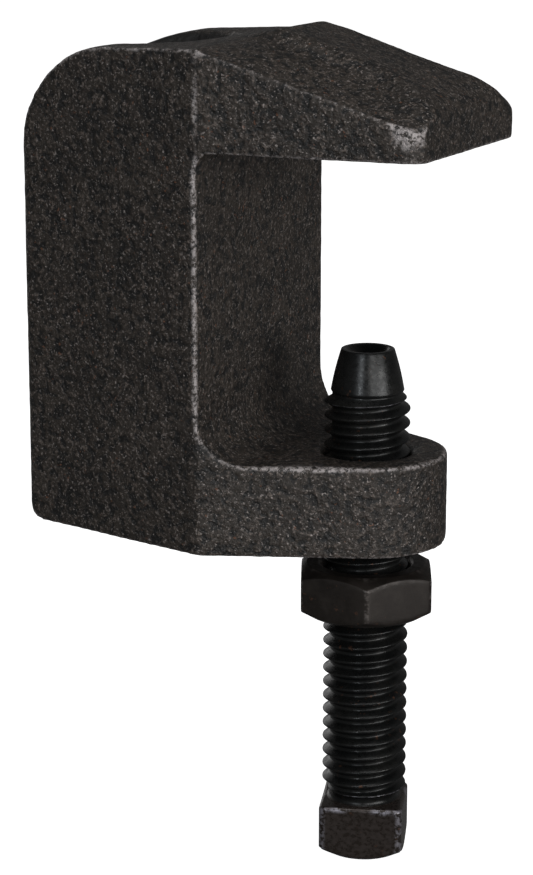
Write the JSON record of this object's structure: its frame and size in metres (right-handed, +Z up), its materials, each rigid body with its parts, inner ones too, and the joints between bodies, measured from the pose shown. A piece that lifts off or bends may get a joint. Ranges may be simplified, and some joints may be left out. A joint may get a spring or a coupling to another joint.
{
  "type": "beam clamp",
  "caption": "C-shaped cast clamp that hooks over a beam flange, with a square-head cup-point set screw, a jam nut and a tapped hole for a hanger rod.",
  "frame": {"origin": "on the hanger-rod axis, at the underside of the body", "axes": "+X from the spine to the jaw tips, +Z up, from the screw head to the upper jaw"},
  "size_m": [0.0486, 0.0302, 0.0908],
  "materials": {
    "cast_iron": "as-cast, dark, fine grain with worn edges",
    "black_oxide_screw": "black oxide, oiled",
    "black_oxide_nut": "black oxide, satin"
  },
  "bodies": {
    "body": {"clamp_body": "cast_iron"},
    "nut": {"lock_nut": "black_oxide_nut"},
    "screw": {"set_screw": "black_oxide_screw"}
  },
  "joints": [
    {"name": "screw_turn", "type": "hinge", "parent": "body", "child": "nut", "pos_m": [0.025, 0, -0.0055], "axis": [0, 0, 1], "range_deg": [-2161, 4321]},
    {"name": "screw_feed", "type": "slide", "parent": "nut", "child": "screw", "axis": [0, 0, 1], "range_m": [-0.00953, 0.01905]}
  ],
  "couplings": [
    {"joint": "screw_turn", "follows": "screw_feed", "rad_per_m": 3957.9}
  ]
}
